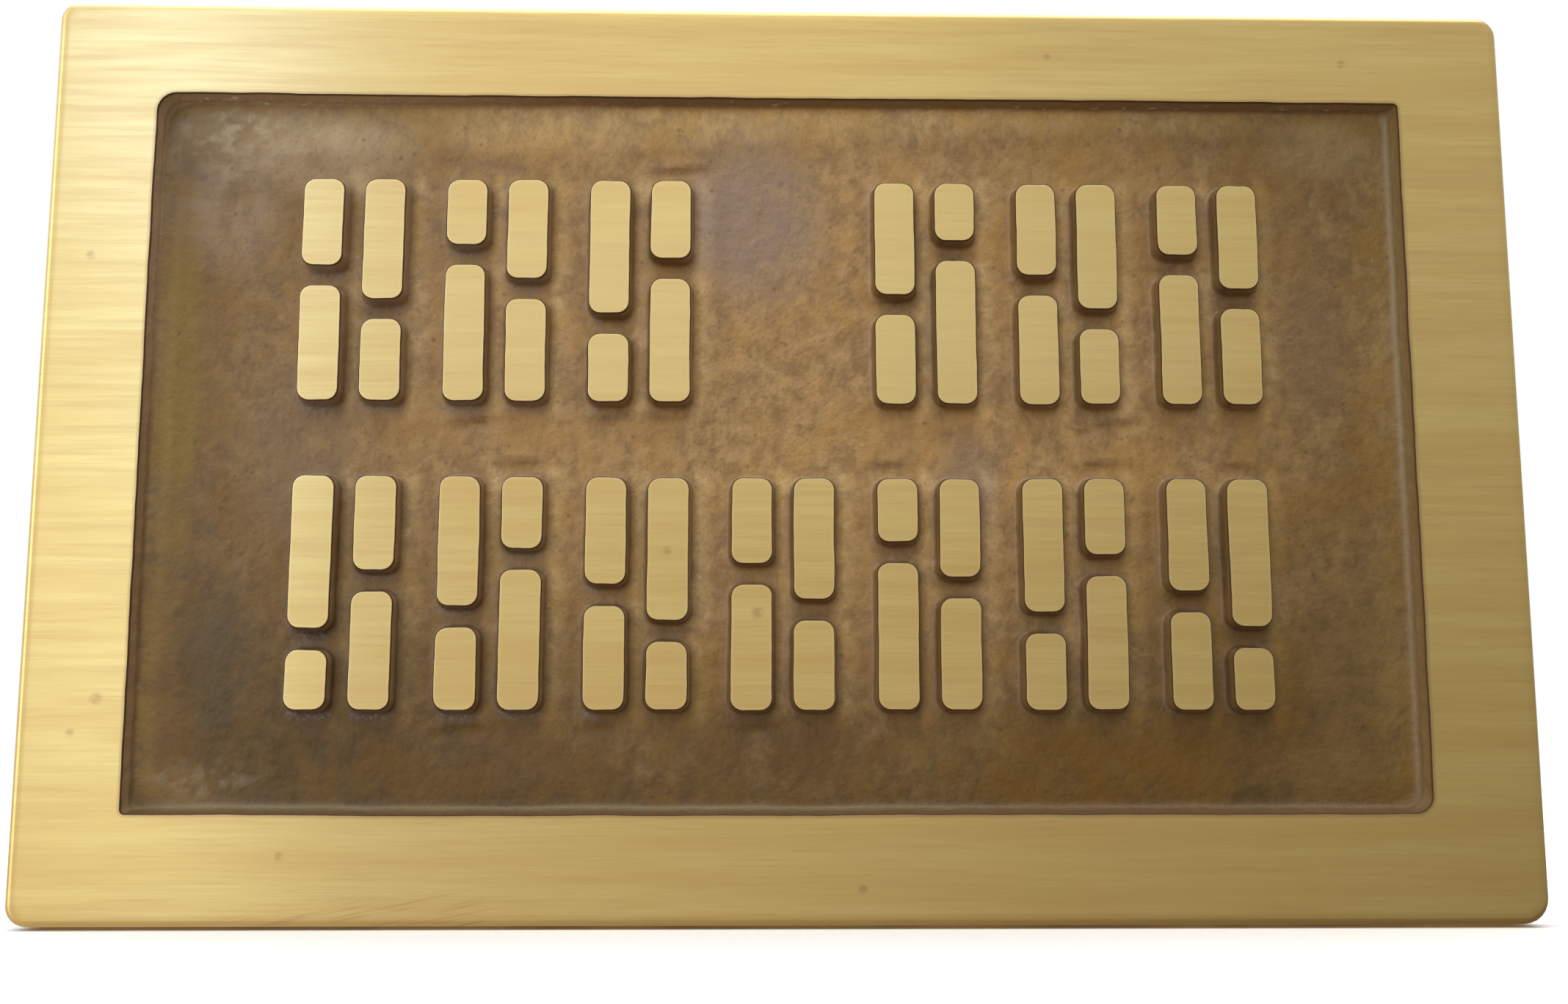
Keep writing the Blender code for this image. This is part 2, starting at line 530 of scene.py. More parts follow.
def painted_highlight_foot(x, z, in_mouth, mouth):
    """How far a point is on the painted highlight at the foot of the lower or right wall, a pale strip
    that fades along them.
    """
    _, right, bottom, _ = mouth.box
    at_bottom = clamp(1 - (z - bottom) / FOOT_REACH) * clamp((40 * MM - x) / (60 * MM), 0.15)
    at_right = clamp(1 - (right - x) / FOOT_REACH) * clamp((z + 25 * MM) / (40 * MM), 0.1, 0.7)
    strip = max(0.0, 1 - abs(in_mouth + FOOT_OFFSET) / FOOT_HALF_WIDTH)
    return min(1.0, 2 * max(at_bottom, at_right)) * strip


def painted_light_by_walls(x, z, mouth):
    """How much painted light brightens the floor beside the top, left and right walls, where they shade
    it, 0 to 1.

    The band of painted light under the top wall is widest on the left.
    """
    left, right, bottom, top = mouth.box
    reach = clamp(5.0 * MM - x / 30, 3.8 * MM, 6.5 * MM)
    from_top = clamp((reach - (top - z)) / (reach - MM))
    from_left = clamp((3.3 * MM - (x - left)) / (2.4 * MM))
    from_right = 0.36 * clamp((6.0 * MM - (right - x)) / (4.3 * MM))
    above_foot = clamp((z - bottom - MM) / (3 * MM))
    return max(from_top, from_left * above_foot, from_right * above_foot)


def painted_light_by_stroke(x, away, stroke):
    """How much painted light brightens the floor on a stroke's right side, where its shadow falls, 0 to
    1.
    """
    right = stroke.box[1]
    if x <= right or away <= 0:
        return 0.0
    return 0.45 * min((x - right) / MM, 1.0) * clamp((PAINTED_LIGHT_REACH - away) / PAINTED_LIGHT_FADE)


def residue_under(x, z, away, stroke):
    """How thick the residue is below a stroke of the left half, 0 to 1."""
    bottom = stroke.box[2]
    if z >= bottom or not 0 < away < RESIDUE_REACH or x >= RESIDUE_RIGHT_END:
        return 0.0
    return min(1.0, 1.8 * (1 - away / RESIDUE_REACH))


def marks_at(x, y, z, front, mouth, strokes, folds):
    """The marks of a point on the front of the casting, in the order of MARKS.

    They are its share of the relief, its distance in millimetres to the nearest edge of a flat
    top, and how much of each of the other five there is, 0 to 1.
    """
    relief = clamp((front + RELIEF - y) / RELIEF)
    in_mouth = mouth.distance(x, z)
    edge = abs(in_mouth) * (0.55 if y > front + 0.5 * MM else 1.0)
    # pale: painted light that brightens the floor where the walls and strokes shade it
    pale = painted_light_by_walls(x, z, mouth) if in_mouth < 0 else 0.0
    residue = 0.0
    for stroke in strokes:
        if stroke.near(x, z, STROKE_REACH):
            away = stroke.distance(x, z)
            edge = min(edge, abs(away))
            pale = max(pale, painted_light_by_stroke(x, away, stroke))
            residue = max(residue, residue_under(x, z, away, stroke))
    edge_distance = min(edge / MM, FARTHEST_EDGE)
    # foot: the painted highlight at the foot of the lower and right walls
    foot = painted_highlight_foot(x, z, in_mouth, mouth) if in_mouth < 0 else 0.0
    # crease: the painted shade in the creases of the floor
    crease = max(crease_shadow(x, z, fold) for fold in folds) if relief < 0.1 else 0.0
    pale *= clamp(1 - relief / 0.4)
    # mouth_edge: how much painted shade the border has on its rounded edge at the mouth
    mouth_edge = clamp((TOP_RIM - in_mouth) / (0.45 * MM)) if in_mouth > 0 else 0.0
    return (relief, edge_distance, foot, residue, crease, pale, mouth_edge)


def wall_pull(x, z, mouth):
    """Shift (x, z) that draws the floor closer to the walls: much at the top and the left."""
    inside = -mouth.distance(x, z)
    if inside < PULL_START or inside > PULL_END:
        return (0.0, 0.0)
    rise = min((inside - PULL_START) / PULL_RISE, 1.0)
    fall = clamp((PULL_END - inside) / PULL_FALL)
    step = 0.01 * MM
    toward_x = (mouth.distance(x + step, z) - mouth.distance(x - step, z)) / (2 * step)
    toward_z = (mouth.distance(x, z + step) - mouth.distance(x, z - step)) / (2 * step)
    share = rise * fall * MM
    ragged = 0.18 * swell(x, z, 4 * MM, 71.3)
    pull_x = (0.45 if toward_x < 0 else 0.10) + ragged
    pull_z = (0.50 if toward_z > 0 else 0.15) + ragged
    return (share * toward_x * pull_x, share * toward_z * pull_z)


def cast_place(x, y, z, relief, mouth, folds):
    """Where the casting has a point of the mouth, the walls, the floor or the strokes.

    The outlines wave a little, the walls are rough and the floor swells.
    """
    fade = min(1.0, (BORDER_CALM - mouth.distance(x, z)) / MM)
    shift_x = 0.10 * swell(x, z, 34 * MM, 11.3) + 0.07 * swell(x, z, 5 * MM, 21.7)
    shift_z = 0.16 * swell(x, z, 30 * MM, 31.1) + 0.07 * swell(x, z, 5 * MM, 41.9)
    steep = 4 * relief * (1 - relief)
    rough = 0.03 + 0.06 * steep
    shift_x += rough * swell(x, z, 1.3 * MM, 51.3 + 3 * relief)
    shift_z += rough * swell(x, z, 1.3 * MM, 61.7 + 3 * relief)
    lift = (1 - relief) * floor_height(x, z, folds)
    pull_x, pull_z = wall_pull(x, z, mouth)
    return (x + shift_x * fade * MM + pull_x, y - lift, z + shift_z * fade * MM + pull_z)


def back_dip(x, z):
    """How far the rough back lies below its highest points."""
    return (0.025 * (1 + swell(x, z, 9 * MM, 4.4)) + 0.03 * abs(swell(x, z, 3 * MM, 2.2))) * MM


def make_uneven(surface, low, high, rim, mouth, strokes):
    """Give the plain surface the unevenness of a casting, inside the solid's own box.

    Returns the marks: for each name of MARKS, a value for each vertex.
    """
    front, back = low.y, high.y
    folds = creases(strokes)
    marks = {name: [] for name in MARKS}
    for number, (x, y, z) in enumerate(surface.points):
        behind_floor = y > front + RELIEF + 0.3 * MM
        if behind_floor or rim.distance(x, z) > -TOP_RIM * 1.01:
            values = OUTER_MARKS
            if y > back - PLANE_TOLERANCE and rim.distance(x, z) < -MM:
                surface.points[number] = (x, y - back_dip(x, z), z)
        else:
            values = marks_at(x, y, z, front, mouth, strokes, folds)
            if mouth.distance(x, z) < BORDER_CALM:
                surface.points[number] = cast_place(x, y, z, values[0], mouth, folds)
        for name, value in zip(MARKS, values):
            marks[name].append(value)
    return marks


def build_plate(frame, low, high):
    """The finished casting, in place of the frame's solid."""
    solid = frame["nodes"][NODE]
    surface, rim, mouth, strokes = build_surface(solid.data, low, high)
    marks = make_uneven(surface, low, high, rim, mouth, strokes)
    data = bpy.data.meshes.new("casting")
    data.from_pydata(surface.points, [], surface.faces)
    data.polygons.foreach_set("material_index", surface.slots)
    work = bmesh.new()
    work.from_mesh(data)
    bmesh.ops.recalc_face_normals(work, faces=work.faces)
    work.to_mesh(data)
    work.free()
    data.shade_smooth()
    for name, values in marks.items():
        data.attributes.new(name, "FLOAT", "POINT").data.foreach_set("value", values)
    grain = data.uv_layers.new(name="grain")
    for loop in data.loops:
        place = data.vertices[loop.vertex_index].co
        grain.data[loop.index].uv = (place.z / (100 * MM), place.x / (100 * MM))
    data.materials.append(brushed_brass())
    data.materials.append(brown_patina())
    data.materials.append(cast_brass())
    plate = bpy.data.objects.new("plate_casting", data)
    bpy.context.scene.collection.objects.link(plate)
    return plate


# Materials

# Cell depths in metres: a pattern that hardly changes through the plate, and a spot that ignores depth
THROUGH = 1
ANY_DEPTH = 1000

# Clouds in the patina: place (x, z) and radius in millimetres, tallness, strength and colour
CLOUDS = (
    (-3.5, 26.0, 11.0, 1.2, 0.75, (144, 126, 114)),
    (20.0, -3.0, 5.0, 1.6, 0.45, (128, 112, 106)),
    (-52.0, 1.0, 9.0, 1.6, 0.45, (122, 104, 84)),
    (-65.0, 6.0, 2.6, 13.0, 0.95, (134, 106, 42)),
    (58.0, 12.0, 6.0, 2.2, 0.4, (104, 88, 72)),
    (-28.0, -33.0, 14.0, 0.35, 0.5, (104, 76, 36)),
    (33.0, 32.0, 16.0, 0.35, 0.6, (160, 122, 62)),
    (-59.5, -22.0, 4.0, 3.0, 0.45, (78, 72, 52)),
    (-66.0, -24.0, 3.0, 5.0, 0.5, (132, 98, 48)),
    (-26.0, 35.0, 14.0, 0.25, 0.6, (186, 144, 82)),
    (-62.0, -35.5, 8.0, 0.45, 0.5, (142, 112, 66)),
    (33.0, -34.0, 17.0, 0.4, 0.85, (112, 76, 8)),
    (57.0, -34.0, 9.0, 0.5, 0.5, (116, 92, 50)),
    (61.5, -21.0, 9.0, 1.9, 0.4, (126, 102, 64)),
    (60.0, 34.5, 9.0, 0.5, 0.6, (152, 128, 86)),
    # The next two pale clouds, in the upper left, are painted sheen.
    (-60.0, 27.0, 7.0, 1.4, 0.5, (172, 148, 116)),
    (-50.0, 33.0, 12.0, 0.5, 0.6, (180, 156, 120)),
    (0.0, -31.5, 15.0, 0.45, 0.5, (80, 56, 24)),
)

# Stains on the brushed tops: place (x, z) and radius in millimetres
STAINS = (
    (-71.5, -26.5, 0.9),
    (-52.0, -42.6, 0.7),
    (-74.0, -30.0, 0.6),
    (-2.9, -17.4, 0.9),
    (-12.5, -10.9, 0.7),
    (47.0, 22.0, 0.6),
    (62.0, 44.0, 0.7),
    (-74.8, 21.0, 0.7),
    (29.0, 44.5, 0.6),
    (8.0, -46.0, 0.7),
)


class Graph:
    """Short ways to add and join the nodes of one material."""

    def __init__(self, name):
        self.material = bpy.data.materials.new(name)
        self.material.use_nodes = True
        self.nodes = self.material.node_tree.nodes
        self.links = self.material.node_tree.links
        self.shader = self.nodes["Principled BSDF"]
        self.place = self.nodes.new("ShaderNodeTexCoord").outputs["Object"]

    def join(self, value, socket):
        """Link an output to a socket, or set a plain number or colour on it."""
        if isinstance(value, bpy.types.NodeSocket):
            self.links.new(value, socket)
        else:
            socket.default_value = value

    def stretched(self, x, y, z, turn=0.0, place=None, centre=(0, 0, 0)):
        """The place in cells of these sizes in metres, turned about Y and counted from a centre."""
        node = self.nodes.new("ShaderNodeMapping")
        node.vector_type = "TEXTURE"
        self.join(place or self.place, node.inputs["Vector"])
        node.inputs["Location"].default_value = centre
        node.inputs["Rotation"].default_value = (0, turn, 0)
        node.inputs["Scale"].default_value = (x, y, z)
        return node.outputs["Vector"]

    def even(self, size):
        """The place in cubic cells of one size in metres."""
        return self.stretched(size, size, size)

    def noise(self, place, detail=2.0, roughness=0.5, distortion=0.0):
        node = self.nodes.new("ShaderNodeTexNoise")
        self.join(place, node.inputs["Vector"])
        node.inputs["Scale"].default_value = 1.0
        node.inputs["Detail"].default_value = detail
        node.inputs["Roughness"].default_value = roughness
        node.inputs["Distortion"].default_value = distortion
        return node.outputs["Fac"]

    def cells(self, place):
        node = self.nodes.new("ShaderNodeTexVoronoi")
        self.join(place, node.inputs["Vector"])
        node.inputs["Scale"].default_value = 1.0
        return node.outputs["Distance"]

    def attribute(self, name):
        node = self.nodes.new("ShaderNodeAttribute")
        node.attribute_name = name
        return node.outputs["Fac"]

    def between(self, value, low, high, first=0.0, last=1.0):
        """A value brought from the range low to high to the range first to last, smoothly."""
        node = self.nodes.new("ShaderNodeMapRange")
        node.interpolation_type = "SMOOTHSTEP"
        self.join(value, node.inputs["Value"])
        for socket, number in zip(node.inputs[1:5], (low, high, first, last)):
            socket.default_value = number
        return node.outputs["Result"]

    def math(self, operation, first, second=0.0):
        node = self.nodes.new("ShaderNodeMath")
        node.operation = operation
        self.join(first, node.inputs[0])
        self.join(second, node.inputs[1])
        return node.outputs[0]

    def times(self, first, second):
        return self.math("MULTIPLY", first, second)

    def parts(self, vector):
        """The X, Y and Z of a vector."""
        node = self.nodes.new("ShaderNodeSeparateXYZ")
        self.join(vector, node.inputs[0])
        return node.outputs

    def mix(self, share, first, second, blend="MIX"):
        node = self.nodes.new("ShaderNodeMix")
        node.data_type = "RGBA"
        node.blend_type = blend
        self.join(share, node.inputs["Factor"])
        self.join(first, node.inputs[6])
        self.join(second, node.inputs[7])
        return node.outputs[2]

    def bump(self, height, strength, distance, normal=None):
        node = self.nodes.new("ShaderNodeBump")
        node.inputs["Strength"].default_value = strength
        node.inputs["Distance"].default_value = distance
        self.join(height, node.inputs["Height"])
        if normal is not None:
            self.join(normal, node.inputs["Normal"])
        return node.outputs["Normal"]

    def away(self, x, z, width, height):
        """Distance from a point of the face, in radii of width and height."""
        node = self.nodes.new("ShaderNodeVectorMath")
        node.operation = "LENGTH"
        self.join(self.stretched(width, ANY_DEPTH, height, centre=(x, 0, z)), node.inputs[0])
        return node.outputs["Value"]

    def spot(self, x, z, radius, tallness=1.0):
        """1 at a point of the face, falling to 0 at a radius, or at more or less of it up and down."""
        return self.between(self.away(x, z, radius, radius * tallness), 1.0, 0.3)

    def set(self, name, value):
        self.join(value, self.shader.inputs[name])


def brushing(graph):
    """Slightly wavy places, and level streaks in three widths: broad, medium and as fine as hair."""
    bend = graph.noise(graph.stretched(26 * MM, THROUGH, 7 * MM), 1.0)
    lifted = graph.nodes.new("ShaderNodeCombineXYZ")
    graph.join(graph.times(bend, 0.5 * MM), lifted.inputs["Z"])
    wavy = graph.nodes.new("ShaderNodeVectorMath")
    graph.join(graph.place, wavy.inputs[0])
    graph.join(lifted.outputs[0], wavy.inputs[1])
    streaks = []
    for length, width in ((46 * MM, 2.6 * MM), (20 * MM, 0.8 * MM), (8 * MM, 0.17 * MM)):
        place = graph.stretched(length, THROUGH, width, 0, wavy.outputs["Vector"])
        streaks.append(graph.noise(place, 2.0, 0.6))
    return streaks


def stained(graph, brass):
    """Brass with small stains, a fan of fine scratches at the lower edge and a paler middle."""
    speck = graph.noise(graph.stretched(0.9 * MM, THROUGH, 0.7 * MM), 1.0)
    for x, z, radius in STAINS:
        spot = graph.spot(x * MM, z * MM, radius * MM)
        blot = graph.times(spot, graph.between(speck, 0.3, 0.6, 0.05, 0.4))
        brass = graph.mix(blot, brass, colour(158, 110, 72))
    scratches = graph.noise(graph.stretched(11 * MM, THROUGH, 0.36 * MM, -0.2), 1.0)
    fan = graph.spot(-42 * MM, -49 * MM, 20 * MM, 0.2)
    fan = graph.times(fan, graph.between(scratches, 0.5, 0.7, 0.0, 0.36))
    brass = graph.mix(fan, brass, colour(158, 120, 76))
    paler_middle = graph.times(graph.spot(4 * MM, 17 * MM, 66 * MM, 0.42), 0.38)
    return graph.mix(paler_middle, brass, colour(246, 222, 158))


def brushed_brass():
    """Linished brass: level streaks of pale gold and tan, a soft painted highlight along the edges, and
    painted shade on the border's edge at the mouth.
    """
    graph = Graph("brushed_brass")
    broad, streak, hair = brushing(graph)
    brass = graph.mix(graph.between(broad, 0.35, 0.65), colour(227, 201, 131), colour(221, 191, 121))
    brass = graph.mix(graph.between(streak, 0.40, 0.78, 0.0, 0.5), brass, colour(211, 174, 112))
    brass = graph.mix(graph.between(hair, 0.45, 0.7, 0.0, 0.3), brass, colour(202, 170, 106))
    brass = stained(graph, brass)
    # Painted highlight: a pale line along the edges of the flat tops.
    painted_edge_light_and_shade = graph.between(graph.attribute("edge_distance"), 0.05, 0.45, 0.3, 0.0)
    brass = graph.mix(painted_edge_light_and_shade, brass, colour(240, 218, 158))
    # Painted shade: the border darker on its rounded edge at the mouth.
    painted_mouth_shade = graph.between(graph.attribute("mouth_edge"), 0.2, 1.0, 0.0, 0.6)
    brass = graph.mix(painted_mouth_shade, brass, colour(168, 136, 84))
    graph.set("Base Color", brass)
    graph.set("Metallic", 1.0)
    graph.set("Roughness", graph.between(streak, 0.3, 0.7, 0.29, 0.33))
    graph.set("Anisotropic", 0.85)
    tangent = graph.nodes.new("ShaderNodeTangent")
    tangent.direction_type = "UV_MAP"
    tangent.uv_map = "grain"
    graph.set("Tangent", tangent.outputs["Tangent"])
    graph.set("Coat Weight", 0.6)
    graph.set("Coat Roughness", 0.25)
    graph.set("Normal", graph.bump(graph.math("ADD", streak, hair), 0.10, 0.02 * MM))
    return graph.material


def floor_colour(graph, patch, mottle, grit, lumps):
    """Patina of the floor: golden and lighter in the middle, darker towards the edges and most at the
    bottom, clouded and pitted, with painted sheen in the upper left corner.
    """
    light = graph.between(mottle, 0.3, 0.7)
    middle_tone = graph.mix(light, colour(144, 112, 70), colour(180, 145, 96))
    golden = graph.mix(graph.between(patch, 0.40, 0.66, 0.0, 0.5), middle_tone, colour(186, 142, 74))
    outer_tone = graph.mix(light, colour(84, 62, 25), colour(104, 78, 33))
    outer_tone = graph.mix(graph.between(patch, 0.44, 0.62, 0.0, 0.6), outer_tone, colour(112, 80, 26))
    outward = graph.math("ADD", graph.away(0, 10 * MM, 70 * MM, 45 * MM), graph.times(patch, 0.4))
    field = graph.mix(graph.between(outward, 0.6, 1.4), golden, outer_tone)
    for x, z, radius, tallness, share, tint in CLOUDS:
        cloud = graph.spot(x * MM, z * MM, radius * MM, tallness)
        cloud = graph.times(cloud, graph.between(patch, 0.3, 0.6, 0.3 * share, share))
        field = graph.mix(cloud, field, colour(*tint))
    # Painted sheen: pale knobs over the lumps in the upper left corner.
    corner = graph.spot(-59 * MM, 34.5 * MM, 11 * MM, 0.5)
    painted_lump_sheen = graph.times(corner, graph.between(lumps, 0.40, 0.74, 0.08, 0.42))
    field = graph.mix(painted_lump_sheen, field, colour(186, 168, 132))
    hollows = graph.times(corner, graph.between(lumps, 0.28, 0.48, 0.35, 0.0))
    field = graph.mix(hollows, field, colour(140, 102, 58))
    field = graph.mix(graph.between(grit, 0.54, 0.8, 0.0, 0.4), field, colour(78, 56, 34))
    pits = graph.between(graph.cells(graph.even(2.3 * MM)), 0.03, 0.16, 0.4, 0.0)
    field = graph.mix(pits, field, colour(72, 54, 40))
    # Painted shade in the creases of the floor.
    return graph.mix(graph.times(graph.attribute("crease"), 0.5), field, colour(84, 54, 28))


def side_colour_painted_by_facing(graph):
    """Colour of the walls and the strokes' sides, with painted light by the way they face: lightest on
    those that face right, and a little lighter on those that face down, which the lights on the upper
    left leave in shade, and golden on those that face left.
    """
    normal = graph.parts(graph.nodes.new("ShaderNodeNewGeometry").outputs["Normal"])
    turned = graph.math("SUBTRACT", normal["X"], graph.times(normal["Z"], 0.3))
    side = graph.mix(graph.between(turned, -0.3, 1.0), colour(104, 77, 49), colour(168, 138, 104))
    return graph.mix(graph.between(normal["X"], -0.3, -0.9), side, colour(124, 97, 57))


def with_pale_tone_and_painted_glints(graph, patina, relief, lumps):
    """Patina with a pale grey tone low on the walls towards the upper left, and painted glints: beads
    on the top wall and soft pale patches in the lower left.
    """
    # A pale grey tone low on the walls and the strokes' sides, towards the upper left.
    pale_feet_tone = graph.between(relief, 0.02, 0.15, 0.0, 0.75)
    pale_feet_tone = graph.times(graph.spot(-60 * MM, 38 * MM, 46 * MM), pale_feet_tone)
    patina = graph.mix(pale_feet_tone, patina, colour(186, 160, 132))
    # Painted glints: pale beads on the top wall, strongest towards the upper left.
    painted_glint_beads = graph.noise(graph.stretched(1.1 * MM, 0.9 * MM, 0.9 * MM), 1.0)
    painted_glint_beads = graph.between(painted_glint_beads, 0.62, 0.80)
    on_wall = graph.times(graph.between(relief, 0.04, 0.15), graph.between(relief, 0.85, 0.65))
    at_top = graph.times(on_wall, graph.between(graph.parts(graph.place)["Z"], 36.6 * MM, 37.2 * MM))
    toward_left = graph.times(graph.spot(-56 * MM, 38 * MM, 18 * MM), 0.9)
    at_top = graph.times(at_top, graph.math("ADD", toward_left, 0.35))
    patina = graph.mix(graph.times(painted_glint_beads, at_top), patina, colour(206, 202, 196))
    # Painted glints: soft pale patches in the lower left corner.
    painted_glint_patches = graph.spot(-61 * MM, -34.6 * MM, 8 * MM, 0.35)
    painted_glint_patches = graph.times(painted_glint_patches, graph.between(lumps, 0.42, 0.68, 0.0, 0.36))
    return graph.mix(painted_glint_patches, patina, colour(158, 146, 122))


def brown_patina():
    """Lacquered brown patina on the cast floor, the walls and the strokes' sides."""
    graph = Graph("brown_patina")
    patch = graph.noise(graph.stretched(6 * MM, 6 * MM, 7 * MM), 4.0, 0.62, 0.5)
    mottle = graph.noise(graph.stretched(1.6 * MM, 1.6 * MM, 1.9 * MM), 4.0, 0.65, 0.3)
    grit = graph.noise(graph.even(0.32 * MM), 2.0, 0.6)
    lumps = graph.noise(graph.stretched(2 * MM, 2 * MM, 1.5 * MM, -0.5), 2.0, 0.5)
    relief = graph.attribute("relief")

    patina = floor_colour(graph, patch, mottle, grit, lumps)
    # Painted shade: darker patina close to the strokes and the mouth.
    painted_edge_light_and_shade = graph.between(graph.attribute("edge_distance"), 0.1, 1.1, 0.35, 0.0)
    patina = graph.mix(painted_edge_light_and_shade, patina, colour(114, 97, 84))
    # Painted light: the floor is brightened beside the walls and on the strokes' right sides, where
    # their shadows fall.
    patina = graph.mix(graph.attribute("pale_floor"), patina, (2.1, 2.4, 2.8, 1.0), "MULTIPLY")
    # Walls and sides: painted light and shade by the way they face.
    patina = graph.mix(graph.between(relief, 0.05, 0.5, 0.0, 0.9), patina, side_colour_painted_by_facing(graph))
    # Painted glints, and a pale grey tone low on the walls in the upper left.
    patina = with_pale_tone_and_painted_glints(graph, patina, relief, lumps)
    patina = graph.mix(graph.between(relief, 0.82, 0.97, 0.0, 0.9), patina, colour(70, 46, 26))
    # Painted highlight: a pale strip at the foot of the lower and right walls.
    patina = graph.mix(graph.times(graph.attribute("painted_highlight_foot"), 0.6), patina, colour(130, 121, 86))
    grains = graph.between(graph.cells(graph.even(0.42 * MM)), 0.1, 0.6, 0.6, 0.1)
    patina = graph.mix(graph.times(graph.attribute("residue"), grains), patina, colour(146, 146, 160))
    graph.set("Base Color", patina)
    graph.set("Metallic", 0.15)
    graph.set("Roughness", graph.between(mottle, 0.3, 0.7, 0.48, 0.62))
    graph.set("Specular IOR Level", 0.3)
    graph.set("Coat Weight", graph.between(relief, 0.0, 0.15, 0.25, 0.0))
    graph.set("Coat Roughness", 0.24)
    swells = graph.noise(graph.even(1.3 * MM), 3.0, 0.55)
    uneven = graph.bump(swells, 0.8, 0.22 * MM)
    graph.set("Normal", graph.bump(grit, 0.4, 0.04 * MM, uneven))
    return graph.material


def cast_brass():
    """Bare cast brass of the sides and the back: dull gold with sand grain and darker clouds."""
    graph = Graph("cast_brass")
    cloud = graph.noise(graph.even(16 * MM), 3.0, 0.6)
    grain = graph.noise(graph.even(0.6 * MM), 3.0, 0.6)
    brass = graph.mix(graph.between(cloud, 0.35, 0.68), colour(206, 170, 108), colour(166, 131, 78))
    brass = graph.mix(graph.between(grain, 0.5, 0.75, 0.0, 0.5), brass, colour(104, 76, 42))
    graph.set("Base Color", brass)
    graph.set("Metallic", 0.9)
    graph.set("Roughness", graph.between(cloud, 0.3, 0.7, 0.42, 0.56))
    graph.set("Normal", graph.bump(grain, 0.5, 0.08 * MM))
    return graph.material


def pale_floor():
    """The studio's plain floor, almost white with faint flecks."""
    graph = Graph("pale_floor")
    fleck = graph.noise(graph.even(50 * MM), 2.0)
    graph.set("Base Color", graph.mix(fleck, colour(240, 240, 240), colour(248, 248, 248)))
    graph.set("Roughness", 0.8)
    return graph.material


# Floor, lights and camera


def add_floor(level):
    data = bpy.data.meshes.new("floor")
    reach = 6.0
    corners = ((-reach, -reach), (reach, -reach), (reach, reach), (-reach, reach))
    data.from_pydata([(x, y, level) for x, y in corners], [], [(0, 1, 2, 3)])
    data.materials.append(pale_floor())
    floor = bpy.data.objects.new("floor", data)
    bpy.context.scene.collection.objects.link(floor)
    floor.visible_glossy = False
    floor.visible_diffuse = False


def add_light(name, place, target, size, power, tint):
    """A soft rectangular light of (width, height) at a place, turned towards a target."""
    lamp = bpy.data.lights.new(name, "AREA")
    lamp.shape = "RECTANGLE"
    lamp.size, lamp.size_y = size
    lamp.energy = power
    lamp.color = tint
    thing = bpy.data.objects.new(name, lamp)
    thing.location = place
    thing.rotation_euler = (Vector(target) - Vector(place)).to_track_quat("-Z", "Y").to_euler()
    thing.visible_camera = False
    bpy.context.scene.collection.objects.link(thing)


def add_lights():
    """Two small windows and a large one on the left, and a glow from above."""
    left_half = (-0.05, 0, 0)
    add_light("window", (-0.27, -0.62, 0.31), left_half, (0.11, 0.14), 0.11, (0.62, 1.0, 2.2))
    add_light("low_window", (-0.285, -0.62, 0.03), left_half, (0.14, 0.14), 0.10, (0.84, 1.0, 1.0))
    add_light("side_window", (-1.2, -0.85, 0.22), (0, 0, 0), (0.9, 0.9), 4.0, (1.0, 0.96, 0.84))
    add_light("top_glow", (-0.05, -0.32, 0.52), (0, 0, 0.01), (0.28, 0.16), 0.25, (1.0, 0.88, 0.76))


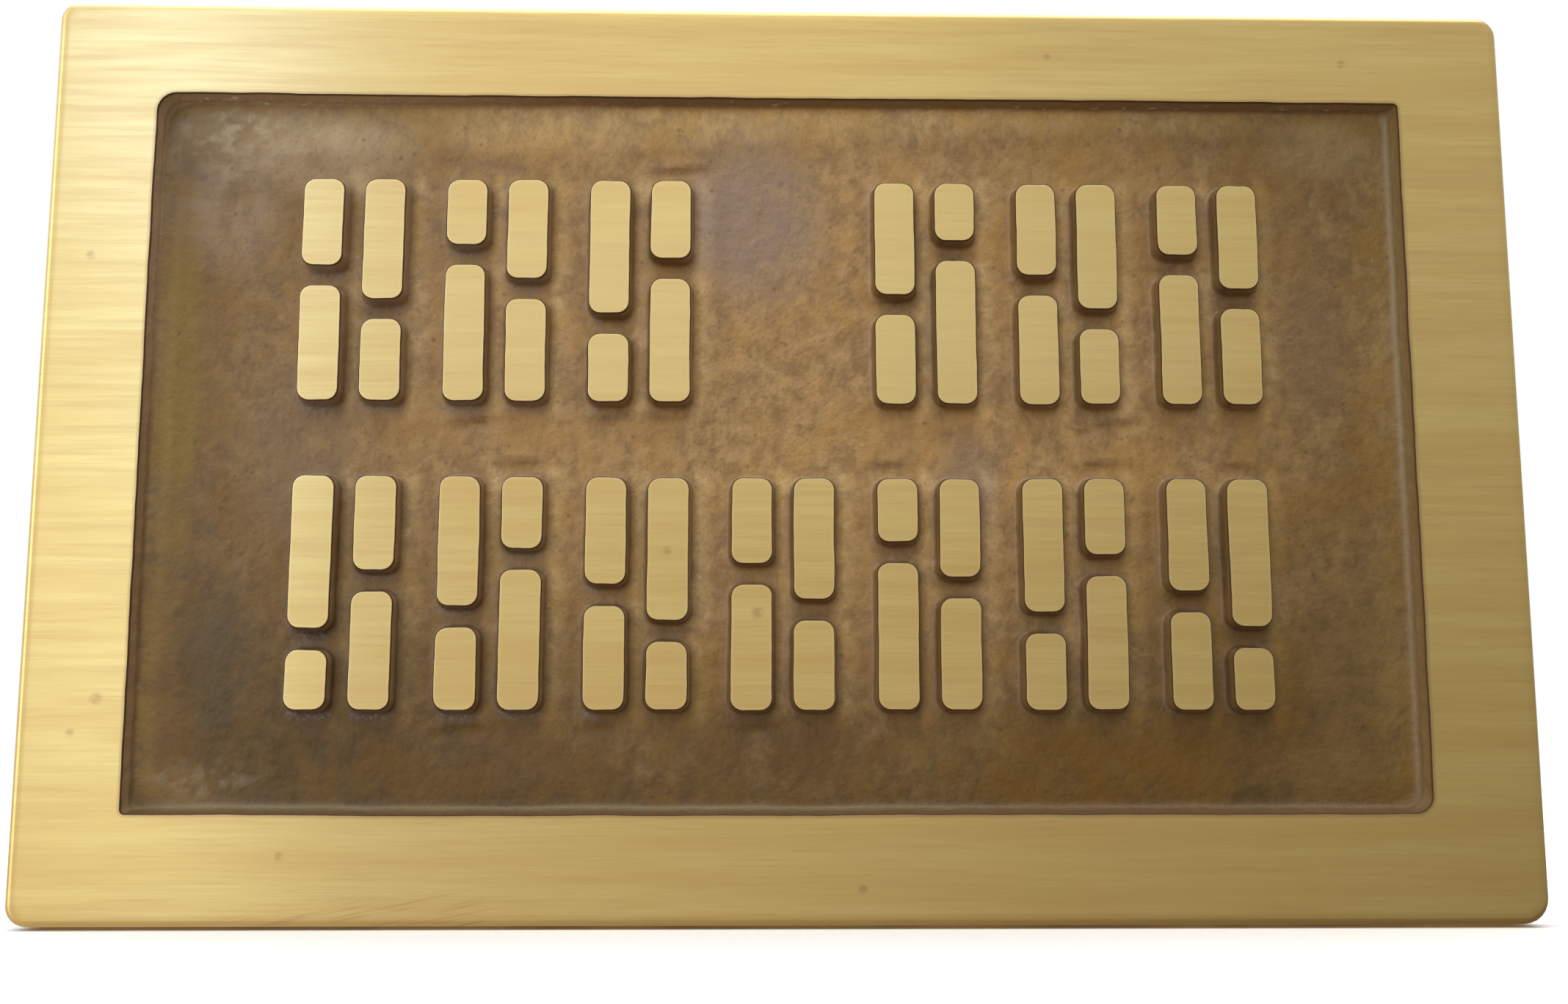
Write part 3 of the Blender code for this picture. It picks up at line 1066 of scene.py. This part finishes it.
def add_world():
    """Soft studio surroundings, bright on the left and dim on the right, and white behind the plate."""
    low_left, low_right = (0.47, 0.40, 0.32), (0.12, 0.094, 0.062)
    high_left, high_right = (0.76, 0.80, 0.84), (0.455, 0.45, 0.40)
    overhead = (2.1, 2.1, 2.1)
    strength = 1.5

    world = bpy.data.worlds.new("studio")
    bpy.context.scene.world = world
    world.use_nodes = True
    nodes, links = world.node_tree.nodes, world.node_tree.links
    around = nodes["Background"]
    direction = nodes.new("ShaderNodeSeparateXYZ")
    links.new(nodes.new("ShaderNodeTexCoord").outputs["Generated"], direction.inputs[0])

    def ramp(axis, start, end):
        node = nodes.new("ShaderNodeMapRange")
        node.interpolation_type = "SMOOTHSTEP"
        links.new(direction.outputs[axis], node.inputs["Value"])
        node.inputs["From Min"].default_value = start
        node.inputs["From Max"].default_value = end
        return node.outputs["Result"]

    def blend(share, first, second):
        node = nodes.new("ShaderNodeMix")
        node.data_type = "RGBA"
        links.new(share, node.inputs["Factor"])
        for value, socket in ((first, node.inputs[6]), (second, node.inputs[7])):
            if isinstance(value, tuple):
                socket.default_value = (*value, 1.0)
            else:
                links.new(value, socket)
        return node.outputs[2]

    to_right = ramp("X", -0.6, 0.5)
    below = blend(to_right, low_left, low_right)
    above = blend(to_right, high_left, high_right)
    level = blend(ramp("Z", -0.25, 0.42), below, above)
    links.new(blend(ramp("Z", 0.72, 0.98), level, overhead), around.inputs["Color"])
    around.inputs["Strength"].default_value = strength
    seen = nodes.new("ShaderNodeBackground")
    seen.inputs["Color"].default_value = (1.0, 1.0, 1.0, 1.0)
    mixed = nodes.new("ShaderNodeMixShader")
    links.new(nodes.new("ShaderNodeLightPath").outputs["Is Camera Ray"], mixed.inputs["Fac"])
    links.new(around.outputs[0], mixed.inputs[1])
    links.new(seen.outputs[0], mixed.inputs[2])
    links.new(mixed.outputs[0], nodes["World Output"].inputs["Surface"])


def add_camera():
    """The photograph's view: close in front, a little below the middle, looking slightly up."""
    camera = bpy.data.cameras.new("camera")
    camera.sensor_width = CAMERA_SENSOR
    camera.lens = CAMERA_LENS
    camera.clip_start = 0.01
    thing = bpy.data.objects.new("camera", camera)
    thing.location = CAMERA_PLACE
    thing.rotation_euler = (math.pi / 2 + CAMERA_RISE, 0, CAMERA_TURN)
    bpy.context.scene.collection.objects.link(thing)
    bpy.context.scene.camera = thing


def main():
    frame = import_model()
    low, high = (Vector(corner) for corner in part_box(NODE))

    plate = build_plate(frame, low, high)
    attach(plate, "root")
    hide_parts(NODE)

    bpy.context.scene.view_settings.view_transform = "Standard"
    add_floor(low.z - 0.05 * MM)
    add_world()
    add_lights()
    add_camera()


main()
